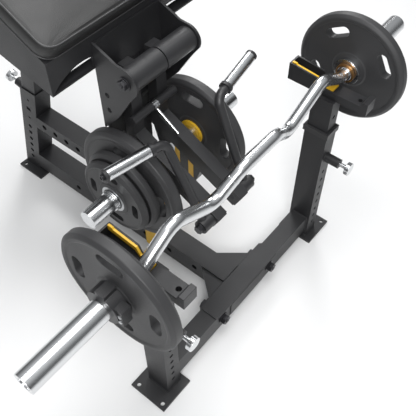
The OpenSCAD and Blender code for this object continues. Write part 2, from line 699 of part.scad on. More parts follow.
// Turning chrome grip sleeve
module grip(s) color("#dcdee0") place() on_side(s)
    translate(grip_from + grip_dir * (collar_t + 0.5))
        rotate([0, acos(grip_dir[2]), atan2(grip_dir[1], grip_dir[0])]) difference() {
            cylinder(h = grip_len, d = grip_d);
            translate([0, 0, -1]) cylinder(h = grip_len + 2, d = rod_d + 2 * run_gap);
        }
module left_grip() grip(-1);
module right_grip() grip(1);

// Link bar across the fronts of both hanging tubes, with its chrome collar and hook rod
link_y = drop_y - link_d / 2 - loose_gap;
module link_bar() color("#26272a") place() {
    bar_x(link_d, -76, 76, link_y, link_z);
    bar_x(link_d + 3, -78, -76, link_y, link_z);
}
module link_rod() color("#d9dbde") place() {
    difference() {
        bar_x(link_d + 6, -8, 8, link_y, link_z);
        bar_x(link_d + 2 * run_gap, -9, 9, link_y, link_z);
    }
    bar_between([0, link_y - 10.5, link_z - 7], [0, link_y - 77, link_z - 50], 8);
}

// Cranked curl bar: up from each sleeve to the outer bend, down to the next and up again
half_path = [for (p = bends) [p[0], -bar_front + p[1], bar_h + p[2]]];
shaft_path = concat([[-collar_in, -bar_front, bar_h]],
    [for (i = [3 : -1 : 0]) [-half_path[i][0], half_path[i][1], half_path[i][2]]],
    half_path, [[collar_in, -bar_front, bar_h]]);
core_d = 27;
shoulder_d = 40;
shoulder_w = 7;
sleeve_tip = 16;
module curl_shaft() color("#d0d3d7") place() {
    bent_bar(shaft_path, shaft_d, bend_r);
    for (s = [-1, 1]) on_side(s) {
        bar_x(shoulder_d, collar_in - shoulder_w, collar_in - loose_gap, -bar_front, bar_h);
        bar_x(core_d, collar_in - shoulder_w, bar_half - sleeve_tip - 1, -bar_front, bar_h);
    }
}
// A sleeve is thinner under its plate, so its free end starts at free_x
function free_x(s) = collar_in + collar_w + bar_plate_t + (s < 0 ? lock_w : 0) + 3;
module sleeve(s) color("#dcdee0") place() on_side(s) difference() {
    union() {
        bar_x(seat_d, collar_in, free_x(s), -bar_front, bar_h);
        bar_x(sleeve_d, free_x(s), bar_half, -bar_front, bar_h);
        bar_x(collar_d, collar_in + 3, collar_in + collar_w, -bar_front, bar_h);
    }
    bar_x(core_d + 2 * run_gap, collar_in - 1, bar_half - sleeve_tip, -bar_front, bar_h);
    bar_x(30, bar_half - 3, bar_half + 1, -bar_front, bar_h);
}
module left_sleeve() sleeve(-1);
module right_sleeve() sleeve(1);
module bar_plate(s) color("#28292c") place() on_side(s)
    translate([collar_in + collar_w, -bar_front, bar_h])
        weight_plate(bar_plate_r, bar_plate_t, s < 0 ? 0 : -30);
module left_bar_plate() bar_plate(-1);
module right_bar_plate() bar_plate(1);

// Clamp collar outside the near plate, with its latch lever
module left_lock() color("#1b1b1d") place() on_side(-1)
    translate([collar_in + collar_w + bar_plate_t, -bar_front, bar_h]) difference() {
        union() {
            bar_x(2 * lock_r, 0, lock_w, 0, 0);
            block(4, lock_w - 4, -lock_r - 9, -lock_r + 14, -24, 26);
            block(0, lock_w, -12, 12, lock_r - 6, lock_r + 8);
        }
        bar_x(seat_d + 2 * run_gap, -1, lock_w + 1, 0, 0);
    }

// Sheet support under the arm pad: arched windows in the front above a folded lip
sheet_t = 6;
lip_t = 3;
lip_len = 26;
function skirt_z(y) = console_z + (y - mast_y) * tan(skirt_slope);
function deck_z(y) = console_top + (y - mast_y) * tan(pad_slope);
arch_half = 90;
arch_rise = 38;
arch_r = (arch_half * arch_half + arch_rise * arch_rise) / (2 * arch_rise);
module pad_console() color("#232426") place() difference() {
    side_slab(-console_half, console_half, [[mast_y, console_z], [console_back, skirt_z(console_back)],
        [console_back, deck_z(console_back)], [mast_y, console_top]]);
    side_slab(-console_half + sheet_t, console_half - sheet_t, [
        [mast_y + sheet_t, skirt_z(mast_y + sheet_t) + lip_t],
        [mast_y + lip_len, skirt_z(mast_y + lip_len) + lip_t],
        [mast_y + lip_len, console_z - 60], [console_back - sheet_t, console_z - 60],
        [console_back - sheet_t, deck_z(console_back - sheet_t) - 8], [mast_y + sheet_t, console_top - 5]]);
    for (s = [-1, 1]) on_side(s) intersection() {
        translate([console_half - arch_half, mast_y - 10, console_z + arch_rise - arch_r])
            rotate([-90, 0, 0]) cylinder(h = sheet_t + 20, r = arch_r, $fn = 96);
        block(cheek_x + 2, console_half - sheet_t, mast_y - 10, mast_y + sheet_t + 1,
            skirt_z(mast_y + sheet_t) + lip_t, 2000);
    }
}

// Arm pad: crowned top, drawn-in sides and two sewn channels round its edge, along its slope
pad_ring = 44;
pad_corner = 46;
// Rounded rectangle outline point number i, inset by e
function corner_c(q) = [[1, 1], [-1, 1], [-1, -1], [1, -1]][q];
function pad_point(i, e) = let (q = floor(i / 11), a = 90 * q + 90 * (i % 11) / 10, r = pad_corner - e,
    c = corner_c(q), draw = 5 * pow(abs(cos(2 * a)), 2))
    [c[0] * (pad_half - pad_corner) + (r - draw * 0.5) * cos(a),
        c[1] * (pad_len / 2 - pad_corner) + (r - draw * 0.5) * sin(a)];
// Section of the rim from the underside up: inset and height in parts of the thickness
pad_rim = [[10, 0], [3, 0.03], [1.2, 0.12], [2.8, 0.16], [0.8, 0.22], [0, 0.45], [0.8, 0.74], [3, 0.86],
    [5, 0.93], [9, 0.91], [14, 1.0]];
pad_levels = len(pad_rim);
pad_fill = [0.9, 0.72, 0.5, 0.25];
function pad_shrunk(i, k) = let (p = pad_point(i, 14)) [p[0] * k, p[1] * k];
pad_rows = concat(
    [for (l = pad_rim) [for (i = [0 : pad_ring - 1]) let (p = pad_point(i, l[0]))
        [p[0], p[1], l[1] * pad_t]]],
    [for (k = pad_fill) [for (i = [0 : pad_ring - 1]) let (p = pad_shrunk(i, k))
        [p[0], p[1], pad_t + pad_crown * (1 - k * k)]]]);
pad_row_n = len(pad_rows);
pad_points = concat([for (row = pad_rows) for (p = row) p], [[0, 0, 0], [0, 0, pad_t + pad_crown]]);
pad_under = pad_row_n * pad_ring;
pad_faces = concat(
    [for (r = [0 : pad_row_n - 2], i = [0 : pad_ring - 1]) let (j = (i + 1) % pad_ring)
        [r * pad_ring + i, (r + 1) * pad_ring + i, r * pad_ring + j]],
    [for (r = [0 : pad_row_n - 2], i = [0 : pad_ring - 1]) let (j = (i + 1) % pad_ring)
        [r * pad_ring + j, (r + 1) * pad_ring + i, (r + 1) * pad_ring + j]],
    [for (i = [0 : pad_ring - 1]) [i, (i + 1) % pad_ring, pad_under]],
    [for (i = [0 : pad_ring - 1]) let (b = (pad_row_n - 1) * pad_ring)
        [b + (i + 1) % pad_ring, b + i, pad_under + 1]]);
module arm_pad() color("#161617") place()
    translate([0, mast_y - 6, console_top - 6 * tan(pad_slope)]) rotate([pad_slope, 0, 0])
        translate([0, pad_len / 2, loose_gap]) polyhedron(points = pad_points, faces = pad_faces);

left_upright();
right_upright();
left_foot();
right_foot();
left_guide_cap();
right_guide_cap();
left_slide_post();
right_slide_post();
left_cradle();
right_cradle();
left_liner();
right_liner();
left_pop_pin();
right_pop_pin();
rear_pop_pin();
cross_beam();
saddle_plate();
front_plate();
beam_bolts();
beam_flange();
centre_beam();
middle_rail();
rear_post();
rear_foot();
rear_slide_post();
mast();
hub_bracket();
hub_axle();
lever_stops();
base_fins();
left_lever();
right_lever();
left_horn();
right_horn();
left_stop_ring();
right_stop_ring();
left_stripes();
right_stripes();
left_plate_big();
left_plate_mid();
left_plate_small();
right_plate_big();
left_horn_clip();
left_pivot_pin();
right_pivot_pin();
left_handle();
right_handle();
left_grip();
right_grip();
link_bar();
link_rod();
curl_shaft();
left_sleeve();
right_sleeve();
left_bar_plate();
right_bar_plate();
left_lock();
pad_console();
arm_pad();
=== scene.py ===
# Plate-loaded biceps machine with a racked curl bar.
# Metres; the two rack uprights stand in front (-Y), the arm pad behind (+Y), X across.
import json
from math import cos, pi, radians, sin

import bmesh
import bpy
from mathutils import Matrix, Vector


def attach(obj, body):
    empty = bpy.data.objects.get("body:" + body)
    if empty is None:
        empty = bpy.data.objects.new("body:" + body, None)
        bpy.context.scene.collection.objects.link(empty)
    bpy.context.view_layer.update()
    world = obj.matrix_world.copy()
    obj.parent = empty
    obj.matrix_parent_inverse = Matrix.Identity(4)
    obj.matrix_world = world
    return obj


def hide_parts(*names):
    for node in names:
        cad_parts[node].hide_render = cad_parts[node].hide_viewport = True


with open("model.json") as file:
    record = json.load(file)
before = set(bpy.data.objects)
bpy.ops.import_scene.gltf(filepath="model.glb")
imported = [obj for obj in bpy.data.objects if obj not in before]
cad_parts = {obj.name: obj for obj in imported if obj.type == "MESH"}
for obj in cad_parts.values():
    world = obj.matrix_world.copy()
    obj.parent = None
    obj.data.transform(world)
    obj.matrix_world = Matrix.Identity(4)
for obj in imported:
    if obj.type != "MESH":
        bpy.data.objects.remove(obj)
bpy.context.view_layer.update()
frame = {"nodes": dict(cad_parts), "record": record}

# Camera: stands left of and above the front of the machine, as the photographer did.
# Its place and turn were fitted to the machine's own edges; nothing here is aimed by pixels.
CAMERA_AT = Vector((-0.8009, -0.9001, 1.6320))
CAMERA_TURN = radians(51.52)
CAMERA_DOWN = radians(51.72)
CAMERA_ROLL = radians(0.45)
CAMERA_LENS = 53.3
CAMERA_SENSOR = 36
look = Vector((sin(CAMERA_TURN) * cos(CAMERA_DOWN), cos(CAMERA_TURN) * cos(CAMERA_DOWN),
               -sin(CAMERA_DOWN)))
level = Vector((cos(CAMERA_TURN), -sin(CAMERA_TURN), 0))
over = level.cross(look)
side = level * cos(CAMERA_ROLL) + over * sin(CAMERA_ROLL)
top = over * cos(CAMERA_ROLL) - level * sin(CAMERA_ROLL)
camera_data = bpy.data.cameras.new("camera")
camera_data.lens = CAMERA_LENS
camera_data.sensor_width = CAMERA_SENSOR
camera = bpy.data.objects.new("camera", camera_data)
turn = Matrix((side, top, -look)).transposed().to_4x4()
camera.matrix_world = Matrix.Translation(CAMERA_AT) @ turn
bpy.context.scene.collection.objects.link(camera)
bpy.context.scene.camera = camera
bpy.context.scene.view_settings.view_transform = "Standard"

# Studio floor: a wide sheet of pale matte paper under the machine.
# It is a stage and not part of the machine.
FLOOR_HALF = 9
FLOOR_SHADE = 0.80
FLOOR_ROUGH = 0.9
paper = bpy.data.materials.new("floor_paper")
paper.use_nodes = True
paper_shader = paper.node_tree.nodes["Principled BSDF"]
paper_shader.inputs["Base Color"].default_value = (FLOOR_SHADE, FLOOR_SHADE, FLOOR_SHADE, 1)
paper_shader.inputs["Roughness"].default_value = FLOOR_ROUGH
floor_mesh = bpy.data.meshes.new("floor")
bm = bmesh.new()
bmesh.ops.create_grid(bm, x_segments=1, y_segments=1, size=FLOOR_HALF)
bm.to_mesh(floor_mesh)
bm.free()
floor_mesh.materials.append(paper)
floor = bpy.data.objects.new("floor", floor_mesh)
bpy.context.scene.collection.objects.link(floor)


# Studio light: three soft round lamps, a key from the front left, a rim from the right rear
# and one overhead, in a grey room that grows paler upwards, which the chrome reflects.
def soft_lamp(name, place, aim, size, power):
    data = bpy.data.lights.new(name, "AREA")
    data.shape = "DISK"
    data.size = size
    data.energy = power
    lamp = bpy.data.objects.new(name, data)
    lamp.location = place
    lamp.rotation_euler = (Vector(aim) - Vector(place)).to_track_quat("-Z", "Y").to_euler()
    bpy.context.scene.collection.objects.link(lamp)


soft_lamp("key_light", (-1.7, -1.6, 2.7), (0, 0, 0.4), 1.4, 62)
soft_lamp("rim_light", (2.2, 1.4, 2.4), (0, 0, 0.4), 1.2, 42)
soft_lamp("top_light", (0.2, -0.2, 3.0), (0, 0, 0.3), 1.8, 46)

ROOM_SHADES = ((0.0, 0.20), (0.30, 0.28), (0.75, 0.85))
ROOM_COOLNESS = 0.02
ROOM_STRENGTH = 0.6
room = bpy.data.worlds.new("studio")
room.use_nodes = True
nodes, links = room.node_tree.nodes, room.node_tree.links
room_place = nodes.new("ShaderNodeTexCoord")
room_split = nodes.new("ShaderNodeSeparateXYZ")
room_ramp = nodes.new("ShaderNodeValToRGB")
marks = room_ramp.color_ramp.elements
marks.new(ROOM_SHADES[1][0])
for mark, (height, shade) in zip(marks, ROOM_SHADES):
    mark.position = height
    mark.color = (shade * (1 - ROOM_COOLNESS), shade, shade * (1 + ROOM_COOLNESS), 1)
links.new(room_place.outputs["Generated"], room_split.inputs["Vector"])
links.new(room_split.outputs["Z"], room_ramp.inputs["Fac"])
links.new(room_ramp.outputs["Color"], nodes["Background"].inputs["Color"])
nodes["Background"].inputs["Strength"].default_value = ROOM_STRENGTH
bpy.context.scene.world = room


# Surface effect shared by every finish on the machine: a fine grain that catches the light,
# and slow patches of dust or handling that change its colour and gloss.
def socket(group, name, way, kind, value=None):
    made = group.interface.new_socket(name=name, in_out=way, socket_type=kind)
    if value is not None:
        made.default_value = value


def grain_group():
    """A node group that turns Object coordinates into a colour, a roughness and a height."""
    fine_share, patch_share = 0.45, 0.55
    patch_low, patch_high = 0.35, 0.68
    group = bpy.data.node_groups.new("grain_and_patches", "ShaderNodeTree")
    socket(group, "Grain scale", "INPUT", "NodeSocketFloat", 900.0)
    socket(group, "Patch scale", "INPUT", "NodeSocketFloat", 6.0)
    socket(group, "Dark", "INPUT", "NodeSocketColor")
    socket(group, "Light", "INPUT", "NodeSocketColor")
    socket(group, "Rough low", "INPUT", "NodeSocketFloat", 0.4)
    socket(group, "Rough high", "INPUT", "NodeSocketFloat", 0.6)
    socket(group, "Color", "OUTPUT", "NodeSocketColor")
    socket(group, "Roughness", "OUTPUT", "NodeSocketFloat")
    socket(group, "Height", "OUTPUT", "NodeSocketFloat")
    nodes, links = group.nodes, group.links
    given = nodes.new("NodeGroupInput")
    result = nodes.new("NodeGroupOutput")
    place = nodes.new("ShaderNodeTexCoord")
    fine = nodes.new("ShaderNodeTexNoise")
    fine.inputs["Detail"].default_value = 2
    patch = nodes.new("ShaderNodeTexNoise")
    patch.inputs["Detail"].default_value = 5
    links.new(place.outputs["Object"], fine.inputs["Vector"])
    links.new(place.outputs["Object"], patch.inputs["Vector"])
    links.new(given.outputs["Grain scale"], fine.inputs["Scale"])
    links.new(given.outputs["Patch scale"], patch.inputs["Scale"])

    spread = nodes.new("ShaderNodeMapRange")
    spread.inputs["From Min"].default_value = patch_low
    spread.inputs["From Max"].default_value = patch_high
    links.new(patch.outputs["Fac"], spread.inputs["Value"])
    links.new(given.outputs["Rough low"], spread.inputs["To Min"])
    links.new(given.outputs["Rough high"], spread.inputs["To Max"])

    patch_part = nodes.new("ShaderNodeMath")
    patch_part.operation = "MULTIPLY"
    patch_part.inputs[1].default_value = patch_share
    links.new(patch.outputs["Fac"], patch_part.inputs[0])
    both = nodes.new("ShaderNodeMath")
    both.operation = "MULTIPLY_ADD"
    both.inputs[1].default_value = fine_share
    links.new(fine.outputs["Fac"], both.inputs[0])
    links.new(patch_part.outputs[0], both.inputs[2])
    # A colour mix node keeps its two colours in inputs 6 and 7 and its result in output 2.
    tint = nodes.new("ShaderNodeMix")
    tint.data_type = "RGBA"
    links.new(both.outputs[0], tint.inputs["Factor"])
    links.new(given.outputs["Dark"], tint.inputs[6])
    links.new(given.outputs["Light"], tint.inputs[7])

    links.new(tint.outputs[2], result.inputs["Color"])
    links.new(spread.outputs["Result"], result.inputs["Roughness"])
    links.new(fine.outputs["Fac"], result.inputs["Height"])
    return group


GRAIN = grain_group()
GRAIN_DEPTH = 0.0004


def grained_material(name, dark, light, rough, grain, bump, patch=6.0, metal=0.0, coat=0.0):
    """A finish between two colours and two roughnesses, with its grain size and relief."""
    made = bpy.data.materials.new(name)
    made.use_nodes = True
    nodes, links = made.node_tree.nodes, made.node_tree.links
    shader = nodes["Principled BSDF"]
    shader.inputs["Metallic"].default_value = metal
    shader.inputs["Coat Weight"].default_value = coat
    effect = nodes.new("ShaderNodeGroup")
    effect.node_tree = GRAIN
    effect.inputs["Grain scale"].default_value = grain
    effect.inputs["Patch scale"].default_value = patch
    effect.inputs["Dark"].default_value = (*dark, 1)
    effect.inputs["Light"].default_value = (*light, 1)
    effect.inputs["Rough low"].default_value = rough[0]
    effect.inputs["Rough high"].default_value = rough[1]
    relief = nodes.new("ShaderNodeBump")
    relief.inputs["Strength"].default_value = bump
    relief.inputs["Distance"].default_value = GRAIN_DEPTH
    links.new(effect.outputs["Height"], relief.inputs["Height"])
    links.new(relief.outputs["Normal"], shader.inputs["Normal"])
    links.new(effect.outputs["Color"], shader.inputs["Base Color"])
    links.new(effect.outputs["Roughness"], shader.inputs["Roughness"])
    return made


# Frame: square steel tube and laser-cut plate, welded, with a fine matte black powder coat.
# Every edge of a rolled tube or a cut plate is a little round, so each piece is rounded here.
POWDER = grained_material("black_powder_coat", (0.010, 0.010, 0.011), (0.022, 0.022, 0.024),
                          (0.42, 0.55), 1100, 0.35)
TUBE_EDGE = 0.003
PLATE_EDGE = 0.0012
EDGE_STEPS = 2
CORNER_ANGLE = radians(35)
FLAT_ANGLE = radians(1)
MERGED = 1e-6
SHARP = 32
BODIES = frame["record"]["behaviour"]["bodies"]
BODY_OF = {node: body for body, nodes in BODIES.items() for node in nodes}


def rounded(node, material, edge):
    """A copy of a CAD node in its place, with merged faces, rounded edges and even shading."""
    mesh = frame["nodes"][node].data.copy()
    mesh.name = node
    bm = bmesh.new()
    bm.from_mesh(mesh)
    bmesh.ops.remove_doubles(bm, verts=bm.verts, dist=MERGED)
    bmesh.ops.dissolve_limit(bm, angle_limit=FLAT_ANGLE, verts=bm.verts, edges=bm.edges)
    if edge:
        corners = [e for e in bm.edges if e.is_manifold and e.calc_face_angle() > CORNER_ANGLE]
        bmesh.ops.bevel(bm, geom=corners, offset=edge, segments=EDGE_STEPS, profile=0.5,
                        affect="EDGES", clamp_overlap=True, material=-1)
    bm.to_mesh(mesh)
    bm.free()
    mesh.materials.clear()
    mesh.materials.append(material)
    mesh.shade_smooth()
    mesh.set_sharp_from_angle(angle=radians(SHARP))
    piece = bpy.data.objects.new(node + "_dressed", mesh)
    bpy.context.scene.collection.objects.link(piece)
    if edge:
        even = piece.modifiers.new("even_normals", "WEIGHTED_NORMAL")
        even.keep_sharp = True
    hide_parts(node)
    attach(piece, BODY_OF[node])
    return piece


for node in ("left_upright", "right_upright", "cross_beam", "centre_beam", "middle_rail",
             "rear_post", "mast", "left_slide_post", "right_slide_post", "rear_slide_post"):
    rounded(node, POWDER, TUBE_EDGE)
for node in ("left_foot", "right_foot", "rear_foot", "saddle_plate", "front_plate",
             "beam_flange", "hub_bracket", "left_cradle", "right_cradle", "pad_console"):
    rounded(node, POWDER, PLATE_EDGE)

# Weld beads where the frame's tubes and plates meet, laid by hand and coated with the frame.
# Their places are in millimetres from the line between the two uprights, as in the CAD source.
UPRIGHT_LINE = 384.25
X, Y, Z = Vector((1, 0, 0)), Vector((0, 1, 0)), Vector((0, 0, 1))


def at(x, y, z):
    return Vector((x, y - UPRIGHT_LINE, z)) / 1000


def hoop(bm, place, radius, sides):
    made = bmesh.ops.create_circle(bm, segments=sides, radius=radius, matrix=place)
    return list(dict.fromkeys(edge for vert in made["verts"] for edge in vert.link_edges))


def swept(bm, points, radius, sides, closed=False, ripple=0.0):
    """A round bead along some points, its radius rippling a little if it is a weld."""
    hoops = []
    normal = None
    for i, here in enumerate(points):
        ahead = points[(i + 1) % len(points)] if closed or i + 1 < len(points) else here
        behind = points[i - 1] if closed or i else here
        along = (ahead - behind).normalized()
        normal = along.orthogonal() if normal is None else normal - along * normal.dot(along)
        normal.normalize()
        place = Matrix((normal, along.cross(normal), along)).transposed().to_4x4()
        place.translation = here
        hoops.append(hoop(bm, place, radius * (1 + ripple * (i % 2)), sides))
    for one, other in zip(hoops, hoops[1:] + (hoops[:1] if closed else [])):
        bmesh.ops.bridge_loops(bm, edges=one + other)
    if not closed:
        bmesh.ops.holes_fill(bm, edges=hoops[0] + hoops[-1])


def finished(bm, name, material, body, sharp=SHARP):
    """The mesh as a piece that rides on a body, its edges sharp past an angle in degrees."""
    bmesh.ops.remove_doubles(bm, verts=bm.verts, dist=MERGED)
    bmesh.ops.recalc_face_normals(bm, faces=bm.faces)
    mesh = bpy.data.meshes.new(name)
    bm.to_mesh(mesh)
    bm.free()
    mesh.materials.append(material)
    mesh.shade_smooth()
    mesh.set_sharp_from_angle(angle=radians(sharp))
    piece = bpy.data.objects.new(name, mesh)
    bpy.context.scene.collection.objects.link(piece)
    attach(piece, body)
    return piece


BEAD_SIDES = 6
BEAD_RIPPLE = 0.16
BEAD_PITCH = 0.004
STRAIGHT_BEAD = 0.0024
ROUND_BEAD = 0.0022
ROUND_STEPS = 40
BEAD_SHARP = 60


def seam(bm, corners):
    """A weld bead along straight runs from corner to corner and back to the first."""
    run = []
    for a, b in zip(corners, corners[1:] + corners[:1]):
        count = max(2, round((b - a).length / BEAD_PITCH))
        run += [a.lerp(b, i / count) for i in range(count)]
    swept(bm, run, STRAIGHT_BEAD, BEAD_SIDES, closed=True, ripple=BEAD_RIPPLE)


def hoop_seam(bm, centre, across, up, radius):
    """A weld bead round a tube, in the plane of two directions."""
    angles = [2 * pi * i / ROUND_STEPS for i in range(ROUND_STEPS)]
    run = [centre + (across * cos(a) + up * sin(a)) * radius for a in angles]
    swept(bm, run, ROUND_BEAD, BEAD_SIDES, closed=True, ripple=BEAD_RIPPLE)


UPRIGHT_X, UPRIGHT_IN, UPRIGHT_OUT, UPRIGHT_DEEP = 338, 313, 363, 35
FOOT_TOP = 8
BEAM_LOW, BEAM_TOP = 24, 94
CROSS_DEEP = 26.5
FLANGE_Y = 34.5
MAST_WIDE, MAST_FRONT, MAST_BACK = 32.5, 357, 417
RAIL_WIDE, RAIL_LOW, RAIL_TOP = 30, 240, 290
BARREL_Z, BARREL_R = 360, 0.014
bm = bmesh.new()
for s in (-1, 1):
    inner, outer = s * UPRIGHT_IN, s * UPRIGHT_OUT
    seam(bm, [at(outer, -UPRIGHT_DEEP, FOOT_TOP), at(outer, UPRIGHT_DEEP, FOOT_TOP),
              at(inner, UPRIGHT_DEEP, FOOT_TOP), at(inner, -UPRIGHT_DEEP, FOOT_TOP)])
    seam(bm, [at(inner, -CROSS_DEEP, BEAM_LOW), at(inner, CROSS_DEEP, BEAM_LOW),
              at(inner, CROSS_DEEP, BEAM_TOP), at(inner, -CROSS_DEEP, BEAM_TOP)])
    hoop_seam(bm, at(s * UPRIGHT_X, -UPRIGHT_DEEP, BARREL_Z), X, Z, BARREL_R)
seam(bm, [at(-MAST_WIDE, FLANGE_Y, BEAM_LOW), at(MAST_WIDE, FLANGE_Y, BEAM_LOW),
          at(MAST_WIDE, FLANGE_Y, BEAM_TOP), at(-MAST_WIDE, FLANGE_Y, BEAM_TOP)])
seam(bm, [at(-MAST_WIDE, MAST_FRONT, BEAM_TOP), at(MAST_WIDE, MAST_FRONT, BEAM_TOP),
          at(MAST_WIDE, MAST_BACK, BEAM_TOP), at(-MAST_WIDE, MAST_BACK, BEAM_TOP)])
seam(bm, [at(-RAIL_WIDE, MAST_BACK, RAIL_LOW), at(RAIL_WIDE, MAST_BACK, RAIL_LOW),
          at(RAIL_WIDE, MAST_BACK, RAIL_TOP), at(-RAIL_WIDE, MAST_BACK, RAIL_TOP)])
finished(bm, "frame_welds", POWDER, "frame", BEAD_SHARP)

# Levers, handles and link bar: welded steel tube and bent bar in the same powder coat. Their copy
# of it is smoother and painted a shade lighter all over, as painted light standing in for the
# light on their upper faces.
LIT_LEVER_COAT = grained_material("lever_coat_painted_light", (0.014, 0.014, 0.015), (0.032, 0.032, 0.034),
                              (0.36, 0.5), 1100, 0.3)
for node in ("left_lever", "right_lever"):
    rounded(node, LIT_LEVER_COAT, TUBE_EDGE)
for node in ("left_handle", "right_handle", "link_bar"):
    rounded(node, LIT_LEVER_COAT, PLATE_EDGE)

# Horn welds: a bead round the foot of each plate horn, where it meets the lever's bracket.
# They turn with the levers and have their coat.
HORN_Y, HORN_Z = 265, 449
HORN_FOOT_X = 62.5
HORN_BEAD_R = 0.0236
for s, body in ((-1, "left_arm"), (1, "right_arm")):
    bm = bmesh.new()
    hoop_seam(bm, at(s * HORN_FOOT_X, HORN_Y, HORN_Z), Y, Z, HORN_BEAD_R)
    finished(bm, body + "_welds", LIT_LEVER_COAT, body, BEAD_SHARP)

# Chrome: the bar's sleeves, the plate horns, the pop pins and the link rod are turned steel,
# hard chromed and bright, and the horn's clip is chromed spring wire.
CHROME = grained_material("hard_chrome", (0.66, 0.67, 0.68), (0.72, 0.73, 0.74), (0.20, 0.26),
                          400, 0.01, patch=5.0, metal=1.0)
for node in ("left_horn", "right_horn", "left_sleeve", "right_sleeve", "left_pop_pin",
             "right_pop_pin", "rear_pop_pin", "link_rod"):
    rounded(node, CHROME, PLATE_EDGE)
rounded("left_horn_clip", CHROME, 0)

# Grips: chromed sleeves that turn on the handle's rod, spun here so that their highlights run
# straight. A black socket screw and its washer hold the disc at each handle's outer end.
OXIDE = grained_material("black_oxide", (0.016, 0.016, 0.018), (0.05, 0.05, 0.055), (0.28, 0.42),
                         700, 0.2, patch=20.0, metal=0.6)
HANDLE_BEND = (132, 176, 632)
HANDLE_TIP = (268, 195, 644)
GRIP_START = 0.0105
SCREW_START = 0.136
GRIP_PROFILE = ((0.00905, 0), (0.0142, 0), (0.0150, 0.0008), (0.0150, 0.1172), (0.0142, 0.118),
                (0.00905, 0.118))
SCREW_PROFILE = ((0, 0), (0.0112, 0), (0.0112, 0.0012), (0.0078, 0.0014), (0.0078, 0.0050),
                 (0.0070, 0.0058), (0.0040, 0.0058), (0.0040, 0.0026), (0, 0.0026))


def facing(point, way):
    """A place whose Z axis points along a direction."""
    place = way.to_track_quat("Z", "Y").to_matrix().to_4x4()
    place.translation = point
    return place


def turned(bm, profile, place, steps=64):
    """A ring of (radius, height) points spun about the Z axis of its place."""
    verts = [bm.verts.new(place @ Vector((r, 0, h))) for r, h in profile]
    edges = [bm.edges.new(pair) for pair in zip(verts, verts[1:] + verts[:1])]
    bmesh.ops.spin(bm, geom=verts + edges, cent=place.translation, axis=place.to_3x3() @ Z,
                   angle=2 * pi, steps=steps, use_merge=True)


for s, side in ((-1, "left"), (1, "right")):
    bend, tip = (at(s * x, y, z) for x, y, z in (HANDLE_BEND, HANDLE_TIP))
    outward = (tip - bend).normalized()
    bm = bmesh.new()
    turned(bm, GRIP_PROFILE, facing(bend + outward * GRIP_START, outward))
    grip = finished(bm, side + "_grip_dressed", CHROME, side + "_grip_body")
    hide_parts(side + "_grip")
    bm = bmesh.new()
    turned(bm, SCREW_PROFILE, facing(bend + outward * SCREW_START, outward), 48)
    finished(bm, side + "_grip_screw", OXIDE, side + "_handle_body")

# Curl bar shaft: one steel bar bent cold on a 50 mm former, so its bends stay round and smooth.
# It is chromed over a fine diamond knurl, which shows only in the grain of its highlights,
# and its shoulders and the cores inside the sleeves are turned.
KNURL_SLANT = 42
KNURL_SCALE = 210
KNURL_BUMP = 0.03
KNURL = CHROME.copy()
KNURL.name = "knurled_chrome"


def relief_of(material):
    return next(n for n in material.node_tree.nodes if n.bl_idname == "ShaderNodeBump")


nodes, links = KNURL.node_tree.nodes, KNURL.node_tree.links
knurl_place = nodes.new("ShaderNodeTexCoord")
knurl_sum = nodes.new("ShaderNodeMath")
knurl_sum.operation = "ADD"
for i, slant in enumerate((-KNURL_SLANT, KNURL_SLANT)):
    band = nodes.new("ShaderNodeTexWave")
    band.inputs["Scale"].default_value = KNURL_SCALE
    band.inputs["Distortion"].default_value = 0
    tilt = nodes.new("ShaderNodeMapping")
    tilt.inputs["Rotation"].default_value = (0, 0, radians(slant))
    links.new(knurl_place.outputs["Object"], tilt.inputs["Vector"])
    links.new(tilt.outputs["Vector"], band.inputs["Vector"])
    links.new(band.outputs["Fac"], knurl_sum.inputs[i])
relief_of(KNURL).inputs["Strength"].default_value = KNURL_BUMP
links.new(knurl_sum.outputs[0], relief_of(KNURL).inputs["Height"])

BAR_Y, BAR_Z = -8.5, 606.5
SHAFT_R = 0.01555
SHAFT_SIDES = 48
FORMER_R = 0.050
BEND_STEPS = 7
SHOULDER_X = 393
# The bends of the right half as (x, y, z) from the bar's own axis, and where the shoulder starts.
HALF_BENDS = ((63, -14, 45), (141, 3, -17), (274, 0, 55), (371, 0, 0), (SHOULDER_X, 0, 0))
SHOULDER_PROFILE = ((0, 0), (0.0195, 0), (0.020, 0.0005), (0.020, 0.0062), (0.0195, 0.0067),
                    (0.0135, 0.0067), (0.0135, 0.261), (0.0132, 0.2612), (0, 0.2612))


def facing_x(point, way):
    """A place whose Z axis points out along X, way being 1 or -1."""
    turn = Matrix.Rotation(way * pi / 2, 4, "Y")
    turn.translation = point
    return turn


corners = [at(-x, BAR_Y + y, BAR_Z + z) for x, y, z in reversed(HALF_BENDS)]
corners += [at(x, BAR_Y + y, BAR_Z + z) for x, y, z in HALF_BENDS]
shaft_run = [corners[0]]
for before, here, after in zip(corners, corners[1:], corners[2:]):
    come, go = (here - before).normalized(), (after - here).normalized()
    half_turn = come.angle(go) / 2
    ahead = (come + go).normalized()
    inward = (go - come).normalized()
    former = here + inward * (FORMER_R / cos(half_turn))
    for k in range(-BEND_STEPS, BEND_STEPS + 1):
        swing = half_turn * k / BEND_STEPS
        shaft_run.append(former + (ahead * sin(swing) - inward * cos(swing)) * FORMER_R)
shaft_run.append(corners[-1])
bm = bmesh.new()
swept(bm, shaft_run, SHAFT_R, SHAFT_SIDES)
for s in (-1, 1):
    turned(bm, SHOULDER_PROFILE, facing_x(at(s * SHOULDER_X, BAR_Y, BAR_Z), s), 48)
shaft = finished(bm, "curl_shaft_dressed", KNURL, "curl_bar")
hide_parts("curl_shaft")

